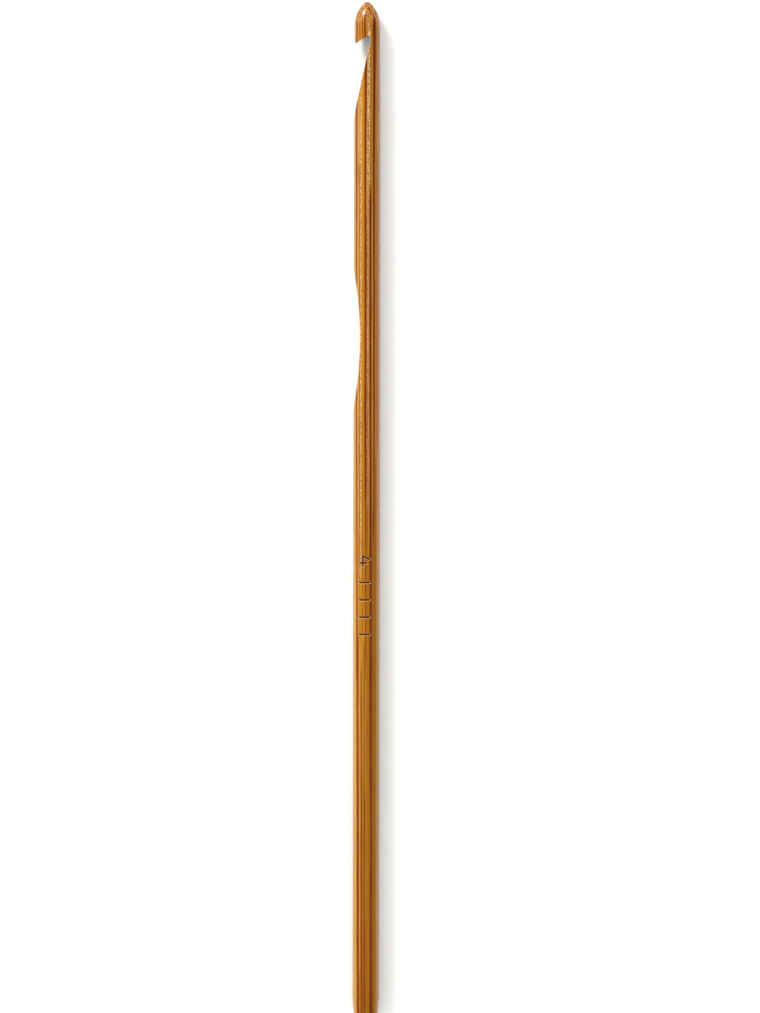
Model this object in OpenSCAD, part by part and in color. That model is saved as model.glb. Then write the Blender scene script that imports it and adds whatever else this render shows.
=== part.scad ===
// Crochet hook, size 4 mm, carved from one round bamboo rod.
//
// The hook lies along Y, with its tip at +Y and its handle end at -Y. The
// notch, the throat and the thumb rest all face -X, and the size mark is on
// top. The origin is on the surface that the hook lies on, below the middle
// of its length. Distances along the hook are measured back from the tip.
//
// The bamboo is one piece. It is drawn as two solids that meet square across
// the rod just behind the throat, so that the notch stays an open space
// between simple shapes.

/* [Rod] */
// Overall length, from the tip to the handle end
hook_length = 156; // [140:1:170]
// Diameter of the shaft behind the throat, which is the hook's size
shaft_d = 4; // [3.8:0.1:4.4]
// How much thicker the handle is than the shaft
handle_swell = 0.04; // [0.02:0.02:0.3]

/* [Head] */
// Radius of the rounded nose
nose_r = 0.7; // [0.5:0.05:1.1]
// Distance from the tip at which the nose reaches the head's full width
nose_length = 3.55; // [3.2:0.05:4.5]
// How much thinner the head is than the shaft
head_relief = 0.12; // [0.04:0.02:0.3]
// Distance from the tip at which the head has grown to the shaft's diameter
head_length = 20; // [17:0.5:22]

/* [Notch and throat] */
// Distance from the tip to the notch's crown, its point nearest the tip
crown_from_tip = 5.31; // [5.1:0.01:5.8]
// Radius of the crown
crown_r = 0.3; // [0.2:0.02:0.4]
// How far the crown sits from the rod's axis, towards the throat's side
crown_offset = 0.04; // [-0.1:0.02:0.3]
// Slope of the lip's underside, in degrees from square across
lip_angle = 34; // [28:1:40]
// Slope of the notch's other side, from its crown to the neck
back_angle = 42; // [36:1:48]
// Radius in the corner between that side and the throat
corner_r = 0.12; // [0.08:0.01:0.2]
// Thickness of the neck left beside that corner
neck_t = 1.3; // [1.1:0.01:1.5]
// How much of the lip's point is taken off, across the rod
lip_blunt = 0.22; // [0.1:0.02:0.3]
// Slope of the short hollow next to the corner, in degrees from the axis
hollow_angle = 18; // [14:1:22]
// Length of that hollow, along the hook
hollow_length = 1.1; // [0.8:0.1:1.6]
// Slope of the throat's long face, in degrees from the axis
throat_angle = 12.4; // [11:0.1:14]

/* [Thumb rest] */
// Distance from the tip to the middle of the thumb rest
rest_from_tip = 51.5; // [46:0.5:56]
// Length of the scoop
rest_length = 20.4; // [16:0.2:24]
// Depth of the scoop at its middle
rest_depth = 0.97; // [0.5:0.01:1.2]

/* [Handle end] */
// Length of the slight taper in front of the rounded end
taper_length = 2.4; // [1.5:0.1:4]
// Slope of that taper, in degrees from the axis
taper_angle = 4.5; // [2:0.5:8]
// Radius that rounds the end
end_r = 1.2; // [0.8:0.1:1.4]

/* [Size mark] */
// Distance from the tip to the near end of the mark
mark_from_tip = 84.8; // [75:0.1:120]
// How far the mark's middle sits towards the throat's side of the top
mark_offset = 0.28; // [0:0.02:0.5]
// Height of the numeral and of the tally bars, across the rod
mark_height = 1.8; // [1.4:0.1:2]
// Width of the grooves
groove_w = 0.24; // [0.16:0.02:0.3]
// Depth of the grooves
groove_depth = 0.2; // [0.16:0.01:0.25]
// Thickness of the dark fill in the bottom of the grooves
fill_t = 0.04; // [0.02:0.01:0.06]
// Number of tally bars behind the numeral, one for each millimetre of size
tally_count = 4; // [3:1:5]
// Spacing of the tally bars
tally_pitch = 2.65; // [1.5:0.05:3]

/* [Hidden] */
$fn = 96;
// The scoop's large radius takes more steps to look round
scoop_fn = 720;
// Steps in each arc of the rod's outline and of the notch
arc_steps = 12;

// Room by which a cutter passes the faces that it cuts
over = 1;

shaft_r = shaft_d / 2;
head_r = shaft_r - head_relief / 2;
handle_r = shaft_r + handle_swell / 2;

// The flank of the nose is an arc that touches the nose's own round at one
// end and the head's full width at the other.
nose_run = nose_length - nose_r;
flank_r = (nose_run * nose_run + head_r * head_r - nose_r * nose_r) / (2 * (head_r - nose_r));
touch_angle = atan2(nose_run, flank_r - head_r);

rest_start = rest_from_tip - rest_length / 2;
rest_end = rest_from_tip + rest_length / 2;
scoop_r = (pow(rest_length / 2, 2) + pow(rest_depth, 2)) / (2 * rest_depth);

// Radius of the flat left in the middle of the handle end, and where the
// handle's straight part stops and its taper starts
end_flat_r = handle_r - taper_length * tan(taper_angle) - end_r * cos(taper_angle);
handle_end = hook_length - end_r + end_r * sin(taper_angle) - taper_length;

// Centres of the notch's crown and of its corner, as [x, distance from the tip].
// The corner's centre is found along the straight side between the two.
crown = [-crown_offset, crown_from_tip + crown_r];
corner_x = head_r - neck_t - corner_r;
round_gap = crown_r - corner_r;
side_run = (corner_x - crown[0] - round_gap * sin(back_angle)) / cos(back_angle);
corner = [corner_x, crown[1] - round_gap * cos(back_angle) + side_run * sin(back_angle)];
// Half width of the head beside the notch
lip_side = head_r + (shaft_r - head_r) * (crown[1] - nose_length) / (head_length - nose_length);

// Lays what is drawn around Z, with Z measured back from the tip, along the
// hook's own axis.
module along_hook() {
    translate([0, hook_length / 2, handle_r]) rotate([90, 0, 0]) children();
}

// Stands a flat outline, drawn with Y measured back from the tip, through
// the rod from below to above.
module through_rod() {
    translate([0, hook_length / 2, -over])
        linear_extrude(2 * handle_r + 2 * over)
            mirror([0, 1]) children();
}

// Points along an arc, from one angle to another.
function arc_points(centre, radius, from, to) = [
    for (i = [0 : arc_steps])
        let (angle = from + (to - from) * i / arc_steps)
            centre + radius * [cos(angle), sin(angle)]
];

// The front of the rod before it is cut: the nose and the head.
module head_blank() {
    along_hook() rotate_extrude() polygon(concat(
        [[0, head_length]],
        arc_points([0, nose_r], nose_r, -90, -touch_angle),
        arc_points([head_r - flank_r, nose_length], flank_r, -touch_angle, 0),
        [[shaft_r, head_length]]
    ));
}

// The rest of the rod before it is cut: the shaft, the grip and the handle
// with its tapered, rounded end.
module shank_blank() {
    along_hook() rotate_extrude() polygon(concat(
        [
            [0, head_length],
            [shaft_r, head_length],
            [shaft_r, rest_start],
            [handle_r, rest_end],
            [handle_r, handle_end]
        ],
        arc_points([end_flat_r, hook_length - end_r], end_r, taper_angle, 90),
        [[0, hook_length]]
    ));
}

// Outline of what is cut away for the notch and the throat: the crown, the
// corner beside the neck, a short hollow, the throat's long face, the lip's
// blunted point and its sloping underside.
module throat_outline() {
    hollow_end = corner + corner_r * [cos(hollow_angle), sin(hollow_angle)]
        + hollow_length * [-tan(hollow_angle), 1];
    side = -shaft_r - over;
    blunt_x = -lip_side + lip_blunt;
    lip_touch = crown - crown_r * [sin(lip_angle), cos(lip_angle)];
    blunt_y = lip_touch[1] + (lip_touch[0] - blunt_x) * tan(lip_angle);
    polygon(concat(
        arc_points(crown, crown_r, -90 - lip_angle, back_angle - 90),
        arc_points(corner, corner_r, back_angle - 90, hollow_angle),
        [
            hollow_end,
            [side, hollow_end[1] + (hollow_end[0] - side) / tan(throat_angle)],
            [side, blunt_y - (blunt_x - side)],
            [blunt_x, blunt_y]
        ]
    ));
}

// One straight groove with round ends, from a to b.
module stroke(a, b) {
    span = b - a;
    translate(a) rotate(atan2(span[1], span[0]))
        translate([0, -groove_w / 2]) square([norm(span), groove_w]);
    translate(a) circle(groove_w / 2);
    translate(b) circle(groove_w / 2);
}

// Flat outline of the size mark: a plain open numeral 4 and a row of tally
// bars. It reads along +X with its foot on the X axis.
module mark_outline() {
    low = groove_w / 2;
    high = mark_height - groove_w / 2;
    width = 0.95 * mark_height - groove_w;
    stem = low + 0.7 * width;
    bar_y = low + 0.3 * (high - low);
    stem_top = low + 0.72 * (high - low);
    first_bar = 2.3 * mark_height;
    stroke([stem, low], [stem, stem_top]);
    stroke([low + 0.3 * width, high], [low, bar_y]);
    stroke([low, bar_y], [low + width, bar_y]);
    for (i = [0 : tally_count - 1]) {
        x = first_bar + i * tally_pitch;
        stroke([x, low], [x, high]);
    }
}

// The size mark's strokes, between two radii about the rod's axis.
module mark_between(inner_r, outer_r) {
    intersection() {
        translate([-mark_offset - mark_height / 2, hook_length / 2 - mark_from_tip, handle_r])
            linear_extrude(handle_r + over)
                rotate(-90) mark_outline();
        along_hook() difference() {
            cylinder(h = hook_length, r = outer_r);
            translate([0, 0, -over]) cylinder(h = hook_length + 2 * over, r = inner_r);
        }
    }
}

// The front of the bamboo: the nose, the lip, the notch and the throat.
module head() {
    color([0.76, 0.53, 0.26])
    difference() {
        head_blank();
        through_rod() throat_outline();
    }
}

// The rest of the bamboo: the shaft, the thumb rest and the handle. A shallow
// throat runs on into it.
module shank() {
    color([0.74, 0.51, 0.24])
    difference() {
        shank_blank();
        through_rod() throat_outline();
        through_rod() translate([-shaft_r + rest_depth - scoop_r, rest_from_tip]) circle(scoop_r, $fn = scoop_fn);
        mark_between(handle_r - groove_depth, handle_r + over);
    }
}

// The dark pigment in the bottom of the mark's grooves.
module size_mark_fill() {
    color([0.2, 0.08, 0.04])
    mark_between(handle_r - groove_depth, handle_r - groove_depth + fill_t);
}

head();
shank();
size_mark_fill();
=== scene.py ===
"""Looks of the bamboo crochet hook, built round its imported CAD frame.

The hook is one mesh, swept in cross-sections from the nose to the handle
end. Lengths are millimetres until a mesh is made, and only the floor, the
light and the camera's distance are given in metres. Distances along the
hook, called "back", are measured back from the tip.
"""
import math
from types import SimpleNamespace

import bpy
import numpy as np
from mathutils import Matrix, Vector


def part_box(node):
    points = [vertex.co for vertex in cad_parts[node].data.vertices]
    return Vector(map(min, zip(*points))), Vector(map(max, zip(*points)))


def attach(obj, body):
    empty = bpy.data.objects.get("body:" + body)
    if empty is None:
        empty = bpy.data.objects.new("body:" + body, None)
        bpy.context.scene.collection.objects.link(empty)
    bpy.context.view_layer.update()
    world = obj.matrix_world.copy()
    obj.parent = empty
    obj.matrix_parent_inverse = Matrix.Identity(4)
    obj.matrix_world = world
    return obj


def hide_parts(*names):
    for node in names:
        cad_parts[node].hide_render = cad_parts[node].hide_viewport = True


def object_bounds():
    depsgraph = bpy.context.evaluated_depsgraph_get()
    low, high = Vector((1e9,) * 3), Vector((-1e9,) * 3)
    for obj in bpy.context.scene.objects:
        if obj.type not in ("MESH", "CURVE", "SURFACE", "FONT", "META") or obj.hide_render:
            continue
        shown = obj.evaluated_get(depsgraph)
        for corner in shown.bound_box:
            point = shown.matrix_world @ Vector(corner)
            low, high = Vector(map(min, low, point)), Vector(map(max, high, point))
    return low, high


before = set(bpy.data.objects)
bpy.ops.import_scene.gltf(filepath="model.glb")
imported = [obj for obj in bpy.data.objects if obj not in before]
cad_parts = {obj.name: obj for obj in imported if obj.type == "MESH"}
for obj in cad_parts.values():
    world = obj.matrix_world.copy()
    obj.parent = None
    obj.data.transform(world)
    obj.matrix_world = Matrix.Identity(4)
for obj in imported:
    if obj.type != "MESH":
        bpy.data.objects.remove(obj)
cad_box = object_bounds()
MM = 0.001

# ---------------------------------------------------------------- dimensions

LOW = np.array(cad_box[0]) / MM
HIGH = np.array(cad_box[1]) / MM
LENGTH = HIGH[1] - LOW[1]
TIP_Y = HIGH[1]
HANDLE_R = (HIGH[2] - LOW[2]) / 2
AXIS_Z = LOW[2] + HANDLE_R
HEAD_BACK = TIP_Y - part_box("head")[0].y / MM  # where the head becomes the shaft

MARK_LOW, MARK_HIGH = (np.array(c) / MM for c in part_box("size_mark_fill"))
MARK_BACK = TIP_Y - MARK_HIGH[1]
MARK_END = TIP_Y - MARK_LOW[1]
MARK_HEIGHT = MARK_HIGH[0] - MARK_LOW[0]

# What the frame doesn't give, repeated from the CAD
SHAFT_R = 2.0
HEAD_R = 1.94
NOSE_R = 0.7
NOSE_BACK = 3.55

REST_BACK = 51.5  # middle of the thumb rest
REST_HALF = 10.2
REST_DEPTH = 0.97
REST_R = (REST_HALF**2 + REST_DEPTH**2) / (2 * REST_DEPTH)

END_R = 1.2
TAPER = math.radians(4.5)
TAPER_LENGTH = 2.4
END_TOUCH = LENGTH - END_R + END_R * math.sin(TAPER)
TAPER_BACK = END_TOUCH - TAPER_LENGTH
TAPER_END_R = HANDLE_R - TAPER_LENGTH * math.tan(TAPER)

LIP = math.radians(34)  # slopes of the notch's sides, and of the throat
NOTCH = math.radians(42)
HOLLOW = math.radians(18)
THROAT = math.radians(12.4)
CROWN_R = 0.3
CROWN = np.array([-0.04, 5.31 + CROWN_R])
CORNER_R = 0.12
NECK_T = 1.3
HOLLOW_LENGTH = 1.1
LIP_SIDE = HEAD_R + (SHAFT_R - HEAD_R) * (CROWN[1] - NOSE_BACK) / (HEAD_BACK - NOSE_BACK)

GROOVE_W = 0.24
GROOVE_DEPTH = 0.2
FILL_T = 0.04
TALLY_COUNT = 4
TALLY_PITCH = 2.65

# What only this mesh has
LIP_R = 0.2  # rounds the lip's point
GROOVE_EDGE = 0.12  # how far the groove's walls lean out at its rim
GROOVE_FOOT = 0.024  # how far inside the groove's edge they start to rise
HEAD_EASE = 0.13  # how far the cut edges of the head are rounded over
SHANK_EASE = 0.30  # the same behind the head
FAR_SIDE = -3.0  # where the cutting line waits, clear of the rod
FAR_OUT = 8.0  # a distance that is past the rod's surface from any point in it
HALVINGS = 34  # steps in the search for the rod's surface


# --------------------------------------------------------------- the outline

def smoothstep(low, high, value):
    """0 below low, 1 above high, and a smooth rise between them."""
    t = np.clip((value - low) / (high - low), 0, 1)
    return t * t * (3 - 2 * t)


def rod_r2(back):
    """Square of the rod's radius as far as the handle's taper, before it is carved.

    It is negative past the tip.
    """
    flank_run = NOSE_BACK - NOSE_R
    flank_r = (flank_run**2 + HEAD_R**2 - NOSE_R**2) / (2 * (HEAD_R - NOSE_R))
    touch = NOSE_R - NOSE_R * flank_run / (flank_r - NOSE_R)
    nose = NOSE_R**2 - (NOSE_R - back) ** 2
    inside = np.clip(flank_r**2 - (NOSE_BACK - back) ** 2, 0, None)
    flank = (HEAD_R - flank_r + np.sqrt(inside)) ** 2
    head = HEAD_R + (SHAFT_R - HEAD_R) * smoothstep(NOSE_BACK, HEAD_BACK, back)
    swell = (HANDLE_R - SHAFT_R) * smoothstep(REST_BACK - REST_HALF, REST_BACK + REST_HALF, back)
    return np.where(back < touch, nose, np.where(back < NOSE_BACK, flank, (head + swell) ** 2))


def arc(centre, radius, start, end, count):
    """Points on an arc, from one angle to another, in degrees."""
    angles = np.radians(np.linspace(start, end, count, endpoint=False))
    return centre + radius * np.stack([np.cos(angles), np.sin(angles)], 1)


def line(start, end, count):
    """Points on a straight line, without its last point."""
    t = np.linspace(0, 1, count, endpoint=False)[:, None]
    return np.array(start) * (1 - t) + np.array(end) * t


def bend(start, corner, end, count):
    """Points on a curve that leaves start towards corner and arrives at end from it."""
    t = np.linspace(0, 1, count, endpoint=False)[:, None]
    return np.array(start) * (1 - t) ** 2 + 2 * np.array(corner) * t * (1 - t) + np.array(end) * t * t


def head_rows():
    """Where each cross-section of the head starts and ends, as (x, back) points.

    The first point runs along the carved side, round the lip, up its
    underside, round the notch and down the throat. The second runs
    down the plain side, more slowly, so that no two sections cross.
    """
    lip_touch = CROWN - CROWN_R * np.array([math.sin(LIP), math.cos(LIP)])
    notch_normal = np.array([math.sin(NOTCH), -math.cos(NOTCH)])
    crown_touch = CROWN + CROWN_R * notch_normal
    corner_x = HEAD_R - NECK_T - CORNER_R
    run = (corner_x - CROWN[0] - (CROWN_R - CORNER_R) * math.sin(NOTCH)) / math.cos(NOTCH)
    along_notch = np.array([math.cos(NOTCH), math.sin(NOTCH)])
    corner = CROWN + (CROWN_R - CORNER_R) * notch_normal + run * along_notch
    corner_touch = corner + CORNER_R * notch_normal
    hollow_touch = corner + CORNER_R * np.array([math.cos(HOLLOW), math.sin(HOLLOW)])
    knee = hollow_touch + HOLLOW_LENGTH * np.array([-math.tan(HOLLOW), 1])
    barb_x = LIP_R - LIP_SIDE
    barb_y = lip_touch[1] + (lip_touch[0] - barb_x) * math.tan(LIP) - LIP_R / math.cos(LIP)
    barb = np.array([barb_x, barb_y])
    foot = barb + LIP_R * np.array([math.sin(LIP), math.cos(LIP)])
    lip_degrees, notch_degrees, hollow_degrees = np.degrees([LIP, NOTCH, HOLLOW])

    # The knee between the hollow and the throat is eased, and the throat runs
    # on until it is outside the rod
    ease_before, ease_after, throat_run, clear_run = 0.7, 1.6, 12.6, 3
    along_throat = np.array([-math.sin(THROAT), math.cos(THROAT)])
    before_knee = knee - ease_before * np.array([-math.sin(HOLLOW), math.cos(HOLLOW)])
    after_knee = knee + ease_after * along_throat
    run_out = knee + (throat_run / math.cos(THROAT)) * along_throat
    shaft_start = np.array([FAR_SIDE, run_out[1] + clear_run])

    # The nose's sections lie closer together towards the tip
    nose_end = 1.6
    turn = np.linspace(0.03, np.pi / 2, 44)[:-1]
    nose = np.stack([np.full(len(turn), FAR_SIDE), nose_end * (1 - np.cos(turn))], 1)
    # Behind it the cutting line still waits, then bends in to the lip's side
    wait_end, way_in, lip_side = [FAR_SIDE, 4.2], [-2.1, 4.9], [-LIP_SIDE, barb_y]
    # Each step is: its carved points, and where its plain points start and end
    steps = [
        (nose, 0.0, nose_end),
        (line([FAR_SIDE, nose_end], wait_end, 28), nose_end, 2.55),
        (bend(wait_end, way_in, lip_side, 26), 2.55, 3.0),
        (arc(barb, LIP_R, 180, 90 - lip_degrees, 14), 3.0, 3.2),
        (line(foot, lip_touch, 30), 3.2, 3.95),
        (arc(CROWN, CROWN_R, -90 - lip_degrees, notch_degrees - 90, 16), 3.95, 4.6),
        (line(crown_touch, corner_touch, 12), 4.6, 5.65),
        (arc(corner, CORNER_R, notch_degrees - 90, hollow_degrees, 10), 5.65, 5.9),
        (line(hollow_touch, before_knee, 8), 5.9, before_knee[1]),
        (bend(before_knee, knee, after_knee, 22), before_knee[1], after_knee[1]),
        (line(after_knee, run_out, 92), after_knee[1], run_out[1]),
        (bend(run_out, run_out + 1.2 * along_throat, shaft_start, 10), run_out[1], shaft_start[1]),
    ]
    carved = np.concatenate([s[0] for s in steps])
    plain = np.concatenate([np.linspace(a, b, len(s), endpoint=False) for s, a, b in steps])
    plain[: len(nose)] = nose[:, 1]
    return carved, plain


def scoop_x(back):
    """How far out the thumb rest's cutting line is, at each distance back."""
    centre = REST_DEPTH - SHAFT_R - REST_R
    reach = np.clip(REST_R**2 - (back - REST_BACK) ** 2, 0, None)
    return np.maximum(centre + np.sqrt(reach), FAR_SIDE)


def shank_backs(start):
    """Distances back of the cross-sections from the shaft to the handle's taper.

    Each stretch is: where it starts and ends, and the spacing of its sections.
    They are closer together along the thumb rest, and closest along the mark.
    """
    rest_start, rest_end = REST_BACK - REST_HALF - 1.5, REST_BACK + REST_HALF + 1.5
    mark_start, mark_end = MARK_BACK - 0.3, MARK_END + 0.3
    stretches = [
        (start, rest_start, 0.6),
        (rest_start, rest_end, 0.3),
        (rest_end, mark_start, 0.7),
        (mark_start, mark_end, 0.035),
        (mark_end, TAPER_BACK - 0.8, 0.8),
    ]
    parts = [np.linspace(a, b, math.ceil((b - a) / step), endpoint=False) for a, b, step in stretches]
    return np.concatenate(parts)


def end_rings():
    """(radius, back) of the rings from the handle's taper to its rounded end."""
    soft = 0.6
    before = np.array([HANDLE_R, TAPER_BACK - soft])
    corner = np.array([HANDLE_R, TAPER_BACK])
    after = corner + soft * np.array([-math.tan(TAPER), 1])
    taper_end = np.array([TAPER_END_R, END_TOUCH])
    taper = np.concatenate([bend(before, corner, after, 8), line(after, taper_end, 10)])
    centre = np.array([TAPER_END_R - END_R * math.cos(TAPER), LENGTH - END_R])
    rounding = arc(centre, END_R, math.degrees(TAPER), 90, 26)
    rounding = rounding[rounding[:, 0] > 0.0]
    cap = line([centre[0], LENGTH], [0.0, LENGTH], 7)
    return np.concatenate([taper, rounding, cap])


# ------------------------------------------------------------ the size mark

def mark_strokes():
    """Centre lines of the mark's grooves, read along the hook: (start, end) pairs."""
    low = GROOVE_W / 2
    high = MARK_HEIGHT - GROOVE_W / 2
    width = 0.95 * MARK_HEIGHT - GROOVE_W
    stem = low + 0.7 * width
    bar = low + 0.3 * (high - low)
    stem_top = low + 0.72 * (high - low)
    first = 2.3 * MARK_HEIGHT
    strokes = [
        ((stem, low), (stem, stem_top)),
        ((low + 0.3 * width, high), (low, bar)),
        ((low, bar), (low + width, bar)),
    ]
    for i in range(TALLY_COUNT):
        across = first + i * TALLY_PITCH
        strokes.append(((across, low), (across, high)))
    return strokes


def mark_distance(x, back):
    """Distance from the nearest centre line of the mark."""
    point = np.stack([back - MARK_BACK, x - MARK_LOW[0]], -1)
    nearest = np.full(point.shape[:-1], 1e9)
    for start, end in mark_strokes():
        start, span = np.array(start), np.array(end) - np.array(start)
        t = np.clip((point - start) @ span / (span @ span), 0, 1)
        nearest = np.minimum(nearest, np.linalg.norm(point - start - t[..., None] * span, axis=-1))
    return nearest


# ------------------------------------------------------------------- meshes

def column_angles():
    """Directions round the rod, clockwise from the top seen from the handle.

    They are closer together across the size mark.
    """
    margin = 0.1
    left = math.asin((MARK_LOW[0] - margin) / HANDLE_R)
    right = math.asin((MARK_HIGH[0] + margin) / HANDLE_R)
    fine = np.arange(left, right, math.radians(1.15))
    coarse = np.linspace(right, 2 * np.pi + left, 126, endpoint=False)
    return np.concatenate([fine, coarse])


def soft_min(a, b, width):
    """The lesser of two distances, rounded over where they are nearly equal."""
    near = np.clip(width - np.abs(a - b), 0, None) / width
    return np.minimum(a, b) - near * near * width / 4


def section_points(carved, plain, softness, angles):
    """Points round each cross-section, as (x, back, z above the axis).

    A section is the upright plane through its two points. Its outline is the
    rod's own surface, cut off by an upright wall at the carved point, and the
    softness is how far the edge between the two is rounded over.
    """
    start = np.stack([np.sqrt(np.clip(rod_r2(plain), 1e-9, None)), plain], 1)
    reach = carved - start
    out = reach / np.linalg.norm(reach, axis=1, keepdims=True)

    def surface(origin, step_out, step_up):
        """Distance from each origin to the rod's surface, found by halving."""
        low = np.zeros(step_out.shape)
        high = np.full(step_out.shape, FAR_OUT)
        for _ in range(HALVINGS):
            middle = (low + high) / 2
            at = origin[:, None, :] + (middle * step_out)[..., None] * out[:, None, :]
            inside = rod_r2(at[..., 1]) > at[..., 0] ** 2 + (middle * step_up) ** 2
            low = np.where(inside, middle, low)
            high = np.where(inside, high, middle)
        return (low + high) / 2

    inner = start + 1e-4 * out  # a hair inside the surface
    one = np.ones((len(carved), 1))
    full = surface(inner, one, 0 * one)[:, 0]
    to_wall = np.linalg.norm(reach, axis=1)
    centre = start + (np.minimum(full, to_wall) / 2)[:, None] * out
    sine, cosine = np.sin(angles), np.cos(angles)
    rod = surface(centre, -sine[None, :] * one, cosine[None, :] * one)
    wall_ahead = np.einsum("ij,ij->i", carved - centre, out)
    facing = np.clip(-sine, 1e-6, None)
    wall = wall_ahead[:, None] / facing[None, :]
    radius = soft_min(rod, wall, softness[:, None])
    flat = centre[:, None, :] - (radius * sine[None, :])[..., None] * out[:, None, :]
    return np.concatenate([flat, (radius * cosine[None, :])[..., None]], -1)


def lathe_faces(rows, columns):
    """Faces of a closed grid of rows and columns, with a point at each end."""
    row = np.arange(rows - 1)[:, None] * columns
    a = row + np.arange(columns)[None, :]
    b = row + (np.arange(columns)[None, :] + 1) % columns
    quads = np.stack([a, b, b + columns, a + columns], -1).reshape(-1, 4)
    first, last = rows * columns, rows * columns + 1
    ring = np.arange(columns)
    after = (ring + 1) % columns
    base = (rows - 1) * columns
    caps = [[first, int(j), int(i)] for i, j in zip(ring, after)]
    caps += [[last, base + int(i), base + int(j)] for i, j in zip(ring, after)]
    return quads.tolist() + caps


def to_frame(points):
    """(x, back, z above the axis) in millimetres to the frame's metres."""
    out = np.empty(points.shape)
    out[..., 0] = points[..., 0]
    out[..., 1] = TIP_Y - points[..., 1]
    out[..., 2] = AXIS_Z + points[..., 2]
    return out * MM


def make_piece(name, points, faces, material):
    """A smooth mesh object from points in the frame."""
    mesh = bpy.data.meshes.new(name)
    mesh.from_pydata(points.reshape(-1, 3).tolist(), [], faces)
    mesh.validate()
    mesh.shade_smooth()
    mesh.materials.append(material)
    piece = bpy.data.objects.new(name, mesh)
    bpy.context.scene.collection.objects.link(piece)
    return piece


def hook_grid():
    """Points of the whole hook as rows of cross-sections, with the mark cut in."""
    angles = column_angles()
    carved, plain = head_rows()
    backs = shank_backs(plain[-1] + 0.3)
    carved = np.concatenate([carved, np.stack([scoop_x(backs), backs], 1)])
    plain = np.concatenate([plain, backs])
    softness = HEAD_EASE + (SHANK_EASE - HEAD_EASE) * smoothstep(HEAD_BACK - 6, HEAD_BACK, plain)
    grid = section_points(carved, plain, softness, angles)

    distance = mark_distance(grid[..., 0], grid[..., 1])
    on_top = grid[..., 2] > 0
    sunk = 1 - smoothstep(GROOVE_W / 2 - GROOVE_FOOT, GROOVE_W / 2 + GROOVE_EDGE, distance)
    shrink = 1 - np.where(on_top, sunk, 0) * GROOVE_DEPTH / HANDLE_R
    grid[..., 0] *= shrink
    grid[..., 2] *= shrink

    rings = end_rings()
    end = np.empty((len(rings), len(angles), 3))
    end[..., 0] = rings[:, :1] * np.sin(angles)
    end[..., 1] = rings[:, 1:]
    end[..., 2] = rings[:, :1] * np.cos(angles)
    return np.concatenate([grid, end])


def make_hook(material):
    """The bamboo hook, one closed mesh."""
    grid = hook_grid()
    rows, columns = grid.shape[:2]
    poles = np.array([[0, 0, 0], [0, LENGTH, 0]], float)
    points = to_frame(np.concatenate([grid.reshape(-1, 3), poles]))
    return make_piece("bamboo_hook", points, lathe_faces(rows, columns), material)


# ---------------------------------------------------------------- materials

def display(red, green, blue):
    """A linear colour from the 0 to 255 values that a screen shows it with."""
    channels = np.array([red, green, blue]) / 255
    linear = np.where(channels <= 0.04045, channels / 12.92, ((channels + 0.055) / 1.055) ** 2.4)
    return (*linear.tolist(), 1.0)


class Shader:
    """One procedural material. Most methods add a node and return its output socket."""

    def __init__(self, name):
        self.material = bpy.data.materials.new(name)
        self.material.use_nodes = True
        self.tree = self.material.node_tree
        self.surface = self.tree.nodes["Principled BSDF"]

    def node(self, kind, values, **settings):
        """A node of this kind, with its settings and its inputs' values or links."""
        made = self.tree.nodes.new(kind)
        for key, value in settings.items():
            setattr(made, key, value)
        for key, value in values.items():
            self.put(made.inputs[key], value)
        return made

    def put(self, socket, value):
        if isinstance(value, bpy.types.NodeSocket):
            self.tree.links.new(value, socket)
        else:
            socket.default_value = value

    def math(self, operation, a, b=0.0, c=0.0):
        return self.node("ShaderNodeMath", {0: a, 1: b, 2: c}, operation=operation).outputs[0]

    def span(self, value, low, high, out_low=0.0, out_high=1.0, kind="SMOOTHSTEP"):
        """Maps low to out_low and high to out_high, and holds both ends."""
        values = {"Value": value, "From Min": low, "From Max": high}
        values.update({"To Min": out_low, "To Max": out_high})
        return self.node("ShaderNodeMapRange", values, interpolation_type=kind).outputs["Result"]

    def mix(self, amount, a, b):
        """Colour a where amount is 0 and colour b where it is 1."""
        made = self.node("ShaderNodeMix", {0: amount}, data_type="RGBA")
        self.put(made.inputs[6], a)
        self.put(made.inputs[7], b)
        return made.outputs[2]

    def place(self):
        """(x, back, height above the axis) in millimetres."""
        at = self.node("ShaderNodeTexCoord", {}).outputs["Object"]
        values = {"Vector": at, "Location": (0, TIP_Y, -AXIS_Z), "Scale": (1 / MM, -1 / MM, 1 / MM)}
        return self.node("ShaderNodeMapping", values).outputs["Vector"]

    def parts(self, vector):
        return self.node("ShaderNodeSeparateXYZ", {"Vector": vector}).outputs

    def scaled(self, vector, scale, shift=(0, 0, 0)):
        values = {"Vector": vector, "Location": shift, "Scale": scale}
        return self.node("ShaderNodeMapping", values).outputs["Vector"]

    def noise(self, vector, scale=(1, 1, 1), detail=2.0, roughness=0.5, shift=(0, 0, 0)):
        """Smooth noise from 0 to 1, with this many waves per millimetre each way."""
        values = {"Vector": self.scaled(vector, scale, shift), "Scale": 1.0}
        values.update({"Detail": detail, "Roughness": roughness})
        return self.node("ShaderNodeTexNoise", values).outputs["Fac"]

    def cells(self, x, y, scale):
        """Distance to the nearest of scattered points, and a random value of that point's own."""
        flat = self.node("ShaderNodeCombineXYZ", {"X": x, "Y": y}).outputs["Vector"]
        values = {"Vector": flat, "Scale": scale}
        made = self.node("ShaderNodeTexVoronoi", values, voronoi_dimensions="2D")
        return made.outputs["Distance"], self.parts(made.outputs["Color"])[0]

    def bump(self, height, strength):
        """Gives the surface a relief of about a fiftieth of a millimetre."""
        values = {"Height": height, "Strength": strength, "Distance": 0.02 * MM}
        self.put(self.surface.inputs["Normal"], self.node("ShaderNodeBump", values).outputs["Normal"])


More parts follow.
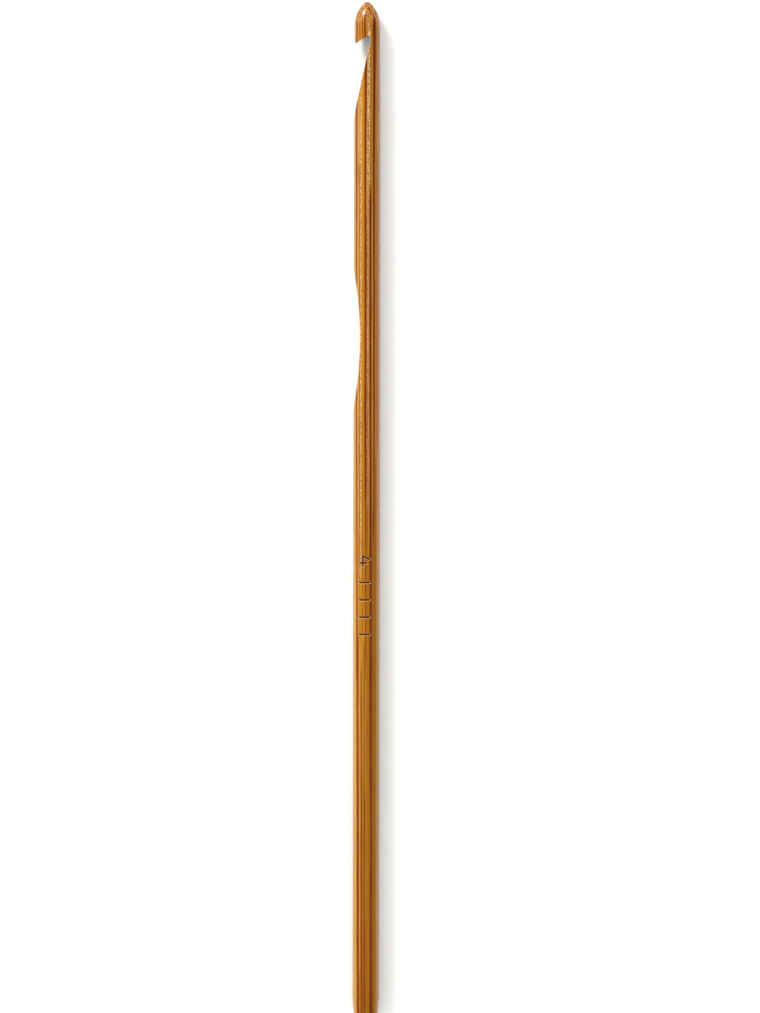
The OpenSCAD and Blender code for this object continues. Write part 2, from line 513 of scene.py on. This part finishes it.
# Fibre bundles that run along the top of the rod. Each is: distances back of
# its ends, its x at each end, its width at each end, and its strength.
DARK_FIBRES = [
    (2.4, 12, -1.56, -1.62, 0.20, 0.24, 0.90),
    (2.4, 6, -0.72, -0.70, 0.14, 0.14, 0.70),
    (1.9, 9, -0.38, -0.26, 0.22, 0.28, 0.85),
    (2.8, 5.6, -1.16, -1.18, 0.09, 0.09, 0.60),
    (3.0, 5.2, -0.96, -0.98, 0.07, 0.07, 0.40),
    (10, 36, -1.60, -1.58, 0.28, 0.24, 0.80),
    (32, 75, -1.58, -1.54, 0.20, 0.20, 0.70),
    (66, 106, -1.54, -1.44, 0.20, 0.24, 0.50),
    (95, 160, -1.38, -1.16, 0.26, 0.30, 0.68),
    (24, 88, -1.10, -1.06, 0.08, 0.08, 0.70),
    (6, 20, -0.22, -0.24, 0.36, 0.32, 0.85),
    (14, 78, -0.25, -0.14, 0.30, 0.32, 0.80),
    (70, 106, -0.12, -0.08, 0.26, 0.10, 0.60),
    (71, 98, -0.57, -0.56, 0.08, 0.08, 0.60),
    (57, 85, 0.17, 0.20, 0.07, 0.08, 0.45),
    (6, 24, 0.54, 0.56, 0.08, 0.08, 0.60),
    (27, 62, 0.53, 0.58, 0.28, 0.30, 1.00),
    (56, 112, 0.58, 0.70, 0.30, 0.34, 0.90),
    (104, 160, 0.70, 0.82, 0.34, 0.42, 0.70),
    (0.6, 27, 1.10, 1.08, 0.40, 0.26, 1.00),
    (22, 84, 1.08, 1.12, 0.26, 0.12, 0.90),
    (9, 21, 1.61, 1.60, 0.10, 0.09, 0.45),
    (21, 70, 1.56, 1.64, 0.12, 0.12, 0.60),
    (100, 160, -0.80, -0.62, 0.14, 0.32, 0.66),
    (97, 160, -0.30, -0.26, 0.12, 0.16, 0.80),
    (140, 160, -0.14, -0.16, 0.30, 0.30, 0.35),
]
PALE_FIBRES = [
    (14, 26, -1.28, -1.28, 0.42, 0.40, 0.60),
    (26, 84, -1.32, -1.26, 0.24, 0.20, 0.40),
    (9, 34, -0.02, -0.02, 0.12, 0.10, 0.60),
    (20, 86, 0.36, 0.38, 0.07, 0.07, 0.60),
    (96, 150, -0.98, -0.94, 0.22, 0.20, 0.45),
    (84, 160, -1.70, -1.66, 0.34, 0.34, 0.60),
    (6, 160, 1.76, 1.80, 0.40, 0.40, 0.35),
    (98, 122, -0.18, -0.16, 0.12, 0.12, 0.40),
    (5, 70, 0.74, 0.84, 0.10, 0.14, 0.50),
    (30, 80, 0.90, 0.94, 0.18, 0.20, 0.30),
    (8, 72, 1.36, 1.38, 0.20, 0.20, 0.30),
]
# The same for rows of open pores, which look pale and speckled
PORE_FIBRES = [
    (11, 90, -0.90, -0.92, 0.26, 0.26, 0.75),
    (1.4, 30, 0.30, 0.26, 0.46, 0.36, 1.00),
    (24, 80, 0.18, 0.18, 0.30, 0.26, 0.45),
]


def fibre_amount(m, fibres, x, back):
    """How strongly the listed fibre bundles show at this x and distance back.

    A bundle has soft edges, and it fades in and out over its ends.
    """
    total = None
    for start, end, x_start, x_end, width_start, width_end, strength in fibres:
        fade = min(4.0, 0.12 * (end - start))
        middle = m.span(back, start, end, x_start, x_end, "LINEAR")
        half = m.span(back, start, end, width_start / 2, width_end / 2, "LINEAR")
        offset = m.math("DIVIDE", m.math("ABSOLUTE", m.math("SUBTRACT", x, middle)), half)
        across = m.span(offset, 1.35, 0.75, 0.0, strength)
        begin = m.span(back, start, start + fade)
        finish = m.span(back, end, end - fade)
        amount = m.math("MULTIPLY", m.math("MULTIPLY", across, begin), finish)
        total = amount if total is None else m.math("MAXIMUM", total, amount)
    return total


GOLDEN = display(164, 112, 18)  # the ground colour on the throat's side
BROWN = display(134, 84, 6)  # the ground colour on the other side
HANDLE_BROWN = display(138, 88, 6)  # the ground colour towards the handle end
NOSE_TAN = display(156, 100, 26)
SIDE_GOLD = display(172, 130, 30)
PALE_STREAK = display(186, 136, 62)
RED_BROWN = display(124, 54, 1)  # a dark streak's edges
DARK_BROWN = display(90, 33, 1)  # a dark streak's middle
PORE_TAN = display(160, 118, 60)
# Pale flecks at open pores: partly pore colour, partly painted glint
PORE_FLECK_AND_GLINT = display(212, 180, 124)
DARK_FLECK = display(92, 54, 18)
# Pale cream on the mark's groove walls: partly cut bamboo, partly painted highlight
GROOVE_WALL_HIGHLIGHT = display(206, 164, 108)


def rod_place(m):
    """Where a point is in the rod, as sockets in millimetres or from 0 to 1."""
    at = SimpleNamespace(point=m.place())
    at.x, at.back, at.height = m.parts(at.point)
    # The fibres waver a little along the hook
    at.wander = m.noise(at.point, (0.6, 0.06, 0.6), 1.0)
    at.x_wavy = m.math("ADD", at.x, m.span(at.wander, 0, 1, -0.05, 0.05, "LINEAR"))
    across = m.math("MULTIPLY", at.x, at.x)
    at.radius = m.math("SQRT", m.math("ADD", across, m.math("MULTIPLY", at.height, at.height)))
    at.safe_radius = m.math("MAXIMUM", at.radius, 0.01)
    # 1 near the rod's surface, near the top of that surface, and on the nose
    at.outer = m.span(at.radius, 1.72, 1.86)
    upward = m.span(m.math("DIVIDE", at.height, at.safe_radius), 0.22, 0.40)
    at.top = m.math("MULTIPLY", at.outer, upward)
    at.nose = m.span(at.back, 4.2, 2.2)
    return at


def scattered_bundles(m, at):
    """How strongly the unlisted bundles show: they lie all through the rod.

    They are faint on its round side, and each has a darkness of its own.
    """
    far, own = m.cells(at.x_wavy, m.math("ADD", at.height, at.wander), 2.3)
    bundle = m.math("MULTIPLY", m.span(far, 0.34, 0.18), m.span(own, 0.1, 0.6, 0.4, 1.0))
    skin = m.math("MULTIPLY", at.outer, m.span(at.back, 2.0, 4.2, 0.0, 0.6))
    bundle = m.math("MULTIPLY", bundle, m.math("SUBTRACT", 1.0, skin))
    # The nose cuts across the finest ones too
    near = m.cells(at.x, at.height, 4.3)[0]
    dots = m.math("MULTIPLY", m.span(near, 0.34, 0.20, 0.0, 0.5), at.nose)
    return m.math("MAXIMUM", bundle, dots)


def dark_amount(m, at, patches, fine):
    """How dark the bamboo's fibres are: listed bundles on top, scattered ones elsewhere."""
    listed = m.math("MULTIPLY", fibre_amount(m, DARK_FIBRES, at.x_wavy, at.back), at.top)
    scattered = m.math("MULTIPLY", scattered_bundles(m, at), m.math("SUBTRACT", 1.0, at.top))
    dark = m.math("ADD", listed, scattered)
    dark = m.math("MULTIPLY", dark, m.span(patches, 0.25, 0.7, 0.78, 1.08, "LINEAR"))
    return m.math("ADD", dark, m.span(fine, 0.3, 0.7, -0.12, 0.20, "LINEAR"))


def ground_colour(m, at, patches):
    """Golden on the throat's side, browner across, duller at the handle, tan on the nose."""
    across = m.math("ADD", at.x, m.span(patches, 0.2, 0.8, -0.5, 0.5, "LINEAR"))
    ground = m.mix(m.span(across, -1.3, 0.7), GOLDEN, BROWN)
    ground = m.mix(m.span(at.back, 85, 135, 0.0, 0.5), ground, HANDLE_BROWN)
    return m.mix(m.math("MULTIPLY", at.nose, 0.7), ground, NOSE_TAN)


def add_flecks(m, colour, flecks, pores):
    """The colour with open pores: pale and dark flecks a few tenths of a millimetre long.
    The pale ones are partly the pores' own colour and partly a painted glint of light caught in them.
    """
    pale = m.math("MULTIPLY", m.span(flecks, 0.46, 0.62), pores)
    dark = m.math("MULTIPLY", m.span(flecks, 0.46, 0.34), pores)
    colour = m.mix(m.math("MULTIPLY", pores, 0.6), colour, PORE_TAN)
    # Pale flecks: partly the pores' colour, partly painted glint
    colour = m.mix(m.math("MULTIPLY", pale, 0.8), colour, PORE_FLECK_AND_GLINT)
    return m.mix(m.math("MULTIPLY", dark, 0.8), colour, DARK_FLECK)


def add_side_band(m, at, colour, patches):
    """The colour with a golden band low on the throat's side."""
    side = m.span(m.math("DIVIDE", at.x_wavy, at.safe_radius), -0.80, -0.88)
    side = m.math("MULTIPLY", side, m.math("MULTIPLY", at.outer, m.span(at.height, -1.2, -0.6)))
    side = m.math("MULTIPLY", side, m.span(patches, 0.3, 0.65, 0.8, 0.5))
    return m.mix(side, colour, SIDE_GOLD)


def add_groove_wall_highlight(m, at, colour):
    """The colour with pale cream on the walls of the mark's grooves: partly the paler bamboo that the
    cut bares, partly a painted highlight of the light the walls catch.
    """
    below = m.span(at.radius, HANDLE_R - 0.01, HANDLE_R - 0.05)
    middle, reach = (MARK_BACK + MARK_END) / 2, (MARK_END - MARK_BACK) / 2 + 1
    walls = m.math("MULTIPLY", below, m.math("COMPARE", at.back, middle, reach))
    return m.mix(m.math("MULTIPLY", walls, 0.6), colour, GROOVE_WALL_HIGHLIGHT)


def bamboo_material():
    """Carbonised bamboo under a clear finish.

    Its fibre bundles run along the hook through its whole thickness, so they
    are lines on the rod's side and dots where the nose or a cut crosses them.
    """
    m = Shader("bamboo")
    at = rod_place(m)
    patches = m.noise(at.point, (0.9, 0.07, 0.9), 2.0, 0.5, (5, 0, 2))
    fine = m.noise(at.point, (7, 0.22, 7), 3.0, 0.6)
    flecks = m.noise(at.point, (6.6, 3.2, 6.6), 2.0, 0.6)

    dark = dark_amount(m, at, patches, fine)
    pale = m.math("MULTIPLY", fibre_amount(m, PALE_FIBRES, at.x_wavy, at.back), at.top)
    pores = m.math("MULTIPLY", fibre_amount(m, PORE_FIBRES, at.x_wavy, at.back), at.top)
    pores = m.math("MAXIMUM", pores, m.math("MULTIPLY", at.nose, 0.4))

    colour = add_flecks(m, ground_colour(m, at, patches), flecks, pores)
    colour = m.mix(pale, colour, PALE_STREAK)
    colour = add_side_band(m, at, colour, patches)
    colour = m.mix(m.span(dark, 0.0, 0.5, kind="LINEAR"), colour, RED_BROWN)
    colour = m.mix(m.span(dark, 0.5, 0.95, kind="LINEAR"), colour, DARK_BROWN)
    m.put(m.surface.inputs["Base Color"], add_groove_wall_highlight(m, at, colour))

    # The finish is smooth, and a little duller over the pores
    wear = m.noise(at.point, (2.5, 0.5, 2.5), 3.0, 0.6, (3, 0, 7))
    rough = m.span(wear, 0.3, 0.7, 0.17, 0.27, "LINEAR")
    m.put(m.surface.inputs["Roughness"], m.math("ADD", rough, m.math("MULTIPLY", pores, 0.08)))
    m.surface.inputs["Specular IOR Level"].default_value = 0.4
    m.bump(m.math("ADD", m.math("MULTIPLY", fine, 0.5), m.math("MULTIPLY", flecks, pores)), 0.2)
    return m.material


def pigment_material():
    """Matt dark brown pigment, a little uneven."""
    m = Shader("mark_pigment")
    place = m.place()
    blotch = m.noise(place, (5, 5, 5), 3.0, 0.6)
    colour = m.mix(m.span(blotch, 0.3, 0.7), display(60, 22, 5), display(88, 38, 10))
    m.put(m.surface.inputs["Base Color"], colour)
    m.put(m.surface.inputs["Roughness"], m.span(blotch, 0.3, 0.7, 0.7, 0.9))
    m.surface.inputs["Specular IOR Level"].default_value = 0.2
    m.bump(m.noise(place, (14, 14, 14), 2.0), 0.6)
    return m.material


def floor_material():
    """Smooth white card."""
    m = Shader("white_card")
    tooth = m.noise(m.place(), (0.8, 0.8, 0.8), 3.0)
    m.put(m.surface.inputs["Base Color"], m.mix(tooth, (0.79, 0.80, 0.78, 1), (0.81, 0.82, 0.80, 1)))
    m.surface.inputs["Roughness"].default_value = 0.7
    m.surface.inputs["Specular IOR Level"].default_value = 0.2
    return m.material


# ------------------------------------------------------------------- pieces

def make_pigment(material):
    """The dark fill in the mark's grooves: one thin closed slab along each stroke.

    It is made of the cells of a fine grid that lie in a groove.
    """
    step = 0.04
    margin = 0.1
    across = np.arange(MARK_LOW[0] - margin, MARK_HIGH[0] + margin, step)
    along = np.arange(MARK_BACK - margin, MARK_END + margin, step)
    x, back = np.meshgrid(across, along)
    centre = mark_distance(x[:-1, :-1] + step / 2, back[:-1, :-1] + step / 2)
    # The slab reaches a little way under the groove's sloping walls
    filled = centre < GROOVE_W / 2 + GROOVE_EDGE / 3
    layers = []
    for depth in (GROOVE_DEPTH - FILL_T, GROOVE_DEPTH + FILL_T / 2):
        radius = HANDLE_R - depth
        shrunk = x * radius / HANDLE_R
        layers.append(np.stack([shrunk, back, np.sqrt(radius**2 - shrunk**2)], -1).reshape(-1, 3))
    rows, columns = x.shape
    below = rows * columns
    faces = []
    for i, j in np.argwhere(filled):
        a = int(i * columns + j)
        b, c, d = a + 1, a + columns + 1, a + columns
        faces += [(a, d, c, b), (below + a, below + b, below + c, below + d)]
        sides = [((i - 1, j), a, b), ((i, j + 1), b, c), ((i + 1, j), c, d), ((i, j - 1), d, a)]
        for beside, start, end in sides:
            if not filled[beside]:
                faces.append((start, end, below + end, below + start))
    used = np.unique(np.array([v for f in faces for v in f]))
    renumber = {int(v): k for k, v in enumerate(used)}
    points = np.concatenate(layers)[used]
    faces = [[renumber[v] for v in f] for f in faces]
    return make_piece("mark_pigment", to_frame(points), faces, material)


hook = make_hook(bamboo_material())
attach(hook, "root")
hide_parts("head", "shank")

pigment = make_pigment(pigment_material())
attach(pigment, "root")
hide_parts("size_mark_fill")

# ------------------------------------------------------- floor, light, camera

FLOOR_HALF = 1.2  # half of the floor's side
SKY_LIGHT = 1.27
SKY_REFLECTED = 0.05
WINDOW_TOWARDS = (-0.475, 0.749, 0.462)  # its direction from the hook
WINDOW_DISTANCE = 1.0
WINDOW_SIZE = (0.34, 0.20)
WINDOW_WATTS = 9.7
VIEW_CENTRE = (2.07, 0.71)  # the point on the floor in the picture's middle
VIEW_HEIGHT = 155.1  # how much of the hook's length the picture shows
VIEW_TURN = math.radians(0.09)
CAMERA_DISTANCE = 3.0
FILM = 36.0  # height of the camera's film, in millimetres


def make_floor():
    """A large white square that the hook lies on."""
    corners = [(-FLOOR_HALF, -FLOOR_HALF, 0), (FLOOR_HALF, -FLOOR_HALF, 0)]
    corners += [(FLOOR_HALF, FLOOR_HALF, 0), (-FLOOR_HALF, FLOOR_HALF, 0)]
    return make_piece("floor", np.array(corners), [(0, 1, 2, 3)], floor_material())


def add_sky():
    """Even light from all round, in which reflections see only a dim room."""
    world = bpy.data.worlds.new("studio")
    world.use_nodes = True
    nodes, links = world.node_tree.nodes, world.node_tree.links
    sky = nodes["Background"]
    sky.inputs["Color"].default_value = (1, 1, 1, 1)
    strength = nodes.new("ShaderNodeMapRange")
    strength.inputs["To Min"].default_value = SKY_LIGHT
    strength.inputs["To Max"].default_value = SKY_REFLECTED
    ray = nodes.new("ShaderNodeLightPath")
    links.new(ray.outputs["Is Glossy Ray"], strength.inputs["Value"])
    links.new(strength.outputs["Result"], sky.inputs["Strength"])
    # An even sky has no bright part to aim samples at
    world.cycles.sampling_method = "NONE"
    bpy.context.scene.world = world


def add_window():
    """A soft rectangular light past the tip, on the throat's side, facing the hook."""
    data = bpy.data.lights.new("window", "AREA")
    data.shape = "RECTANGLE"
    data.size, data.size_y = WINDOW_SIZE
    data.energy = WINDOW_WATTS
    light = bpy.data.objects.new("window", data)
    light.location = Vector(WINDOW_TOWARDS).normalized() * WINDOW_DISTANCE
    light.rotation_euler = (-light.location).to_track_quat("-Z", "Y").to_euler()
    bpy.context.scene.collection.objects.link(light)


def add_camera():
    """A camera far above the hook that looks straight down, turned a touch."""
    data = bpy.data.cameras.new("camera")
    data.sensor_fit = "VERTICAL"
    data.sensor_height = FILM
    data.lens = FILM * (CAMERA_DISTANCE - AXIS_Z * MM) / (VIEW_HEIGHT * MM)
    camera = bpy.data.objects.new("camera", data)
    camera.location = (VIEW_CENTRE[0] * MM, VIEW_CENTRE[1] * MM, CAMERA_DISTANCE)
    camera.rotation_euler = (0, 0, VIEW_TURN)
    bpy.context.scene.collection.objects.link(camera)
    bpy.context.scene.camera = camera
    bpy.context.scene.view_settings.view_transform = "Standard"


make_floor()
add_sky()
add_window()
add_camera()
